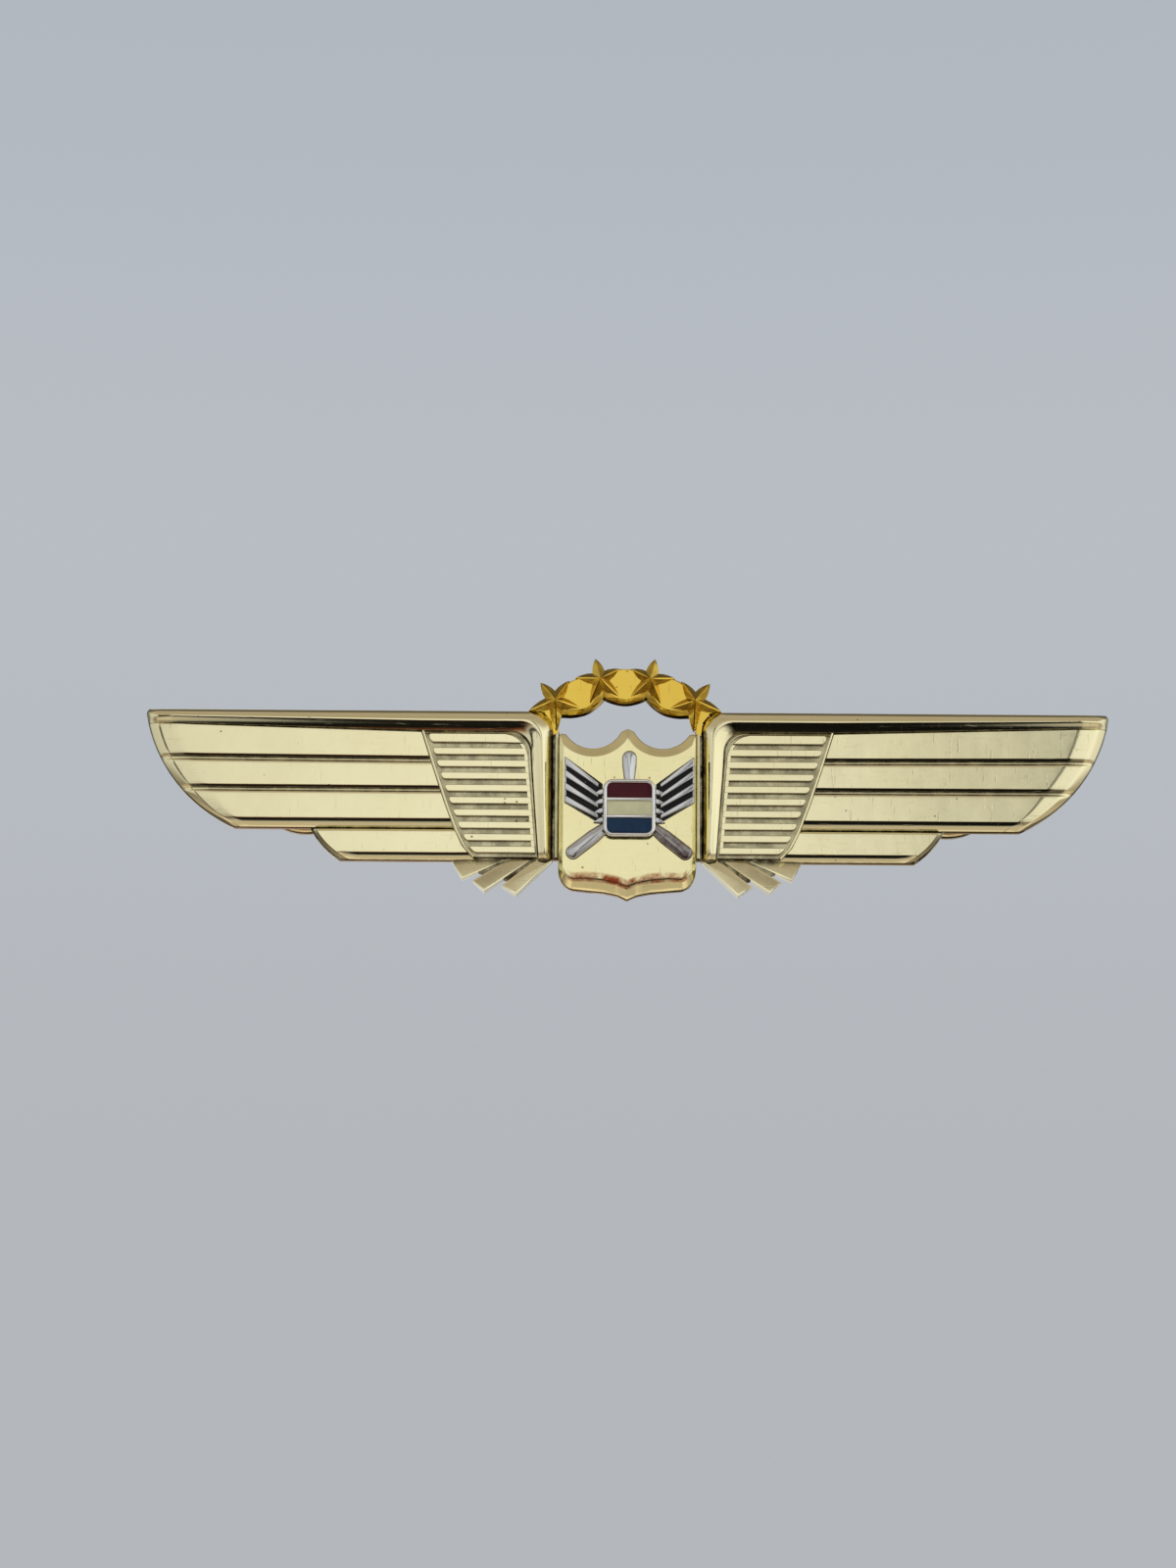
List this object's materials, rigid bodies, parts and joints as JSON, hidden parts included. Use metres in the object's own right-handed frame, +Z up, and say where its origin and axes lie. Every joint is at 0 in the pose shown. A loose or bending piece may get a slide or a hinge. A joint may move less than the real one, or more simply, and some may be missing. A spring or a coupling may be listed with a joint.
{
  "type": "pilot wings pin",
  "caption": "Polished gold-tone pilot wings pin with a raised shield, an arc of stars, a silver propeller emblem with enamel, and clutch-back posts.",
  "frame": {"origin": "centre of the back plane, midway between the two posts", "axes": "+X across the wings, +Y out of the back towards the garment, +Z up; the front faces -Y"},
  "size_m": [0.08, 0.0128, 0.0206],
  "materials": {
    "gold_plate": "polished gold-tone plate with fine pits and brown tarnish in the grooves",
    "deep_gold": "polished deep-gold plate",
    "aged_silver": "silver-tone plate, darkened in the recesses",
    "black_enamel": "glossy hard enamel",
    "red_enamel": "glossy dark red enamel",
    "cream_enamel": "glossy cream enamel",
    "navy_enamel": "glossy navy enamel",
    "post_metal": "pale plated metal, lightly worn",
    "clutch_metal": "gold-tone plated sheet",
    "spring_metal": "bare spring strip"
  },
  "bodies": {
    "badge": {"wing_plate": "gold_plate", "centre_shield": "gold_plate", "star_arc": "deep_gold", "propeller": "aged_silver", "left_fan": "aged_silver", "right_fan": "aged_silver", "left_fan_enamel": "black_enamel", "right_fan_enamel": "black_enamel", "plaque": "aged_silver", "enamel_red": "red_enamel", "enamel_cream": "cream_enamel", "enamel_navy": "navy_enamel", "left_post": "post_metal", "right_post": "post_metal"},
    "left_cup": {"left_clutch_cup": "clutch_metal"},
    "left_core": {"left_clutch_insert": "clutch_metal", "left_clutch_spring": "spring_metal"},
    "left_outer_tab": {"left_tab_outer": "clutch_metal"},
    "left_inner_tab": {"left_tab_inner": "clutch_metal"},
    "right_cup": {"right_clutch_cup": "clutch_metal"},
    "right_core": {"right_clutch_insert": "clutch_metal", "right_clutch_spring": "spring_metal"},
    "right_outer_tab": {"right_tab_outer": "clutch_metal"},
    "right_inner_tab": {"right_tab_inner": "clutch_metal"}
  },
  "joints": [
    {"name": "left_clutch_pull", "type": "slide", "parent": "badge", "child": "left_cup", "axis": [0, 1, 0], "range_m": [0, 0.012]},
    {"name": "left_clutch_spin", "type": "hinge", "parent": "left_cup", "child": "left_core", "pos_m": [-0.027, 0.005, 0], "axis": [0, 1, 0], "continuous": true},
    {"name": "left_outer_squeeze", "type": "hinge", "parent": "left_core", "child": "left_outer_tab", "pos_m": [-0.0289, 0.006, 0], "axis": [0, 0, -1], "range_deg": [0, 15], "stiffness_Nm_per_rad": 0.004, "springref_deg": -8.59, "deforming": ["left_clutch_spring"]},
    {"name": "left_inner_squeeze", "type": "hinge", "parent": "left_core", "child": "left_inner_tab", "pos_m": [-0.0251, 0.006, 0], "axis": [0, 0, 1], "range_deg": [0, 15], "stiffness_Nm_per_rad": 0.004, "springref_deg": -8.59},
    {"name": "right_clutch_pull", "type": "slide", "parent": "badge", "child": "right_cup", "axis": [0, 1, 0], "range_m": [0, 0.012]},
    {"name": "right_clutch_spin", "type": "hinge", "parent": "right_cup", "child": "right_core", "pos_m": [0.027, 0.005, 0], "axis": [0, 1, 0], "continuous": true},
    {"name": "right_outer_squeeze", "type": "hinge", "parent": "right_core", "child": "right_outer_tab", "pos_m": [0.0289, 0.006, 0], "axis": [0, 0, 1], "range_deg": [0, 15], "stiffness_Nm_per_rad": 0.004, "springref_deg": -8.59, "deforming": ["right_clutch_spring"]},
    {"name": "right_inner_squeeze", "type": "hinge", "parent": "right_core", "child": "right_inner_tab", "pos_m": [0.0251, 0.006, 0], "axis": [0, 0, -1], "range_deg": [0, 15], "stiffness_Nm_per_rad": 0.004, "springref_deg": -8.59}
  ],
  "couplings": [
    {"joint": "left_inner_squeeze", "follows": "left_outer_squeeze", "ratio": 1},
    {"joint": "right_inner_squeeze", "follows": "right_outer_squeeze", "ratio": 1}
  ]
}
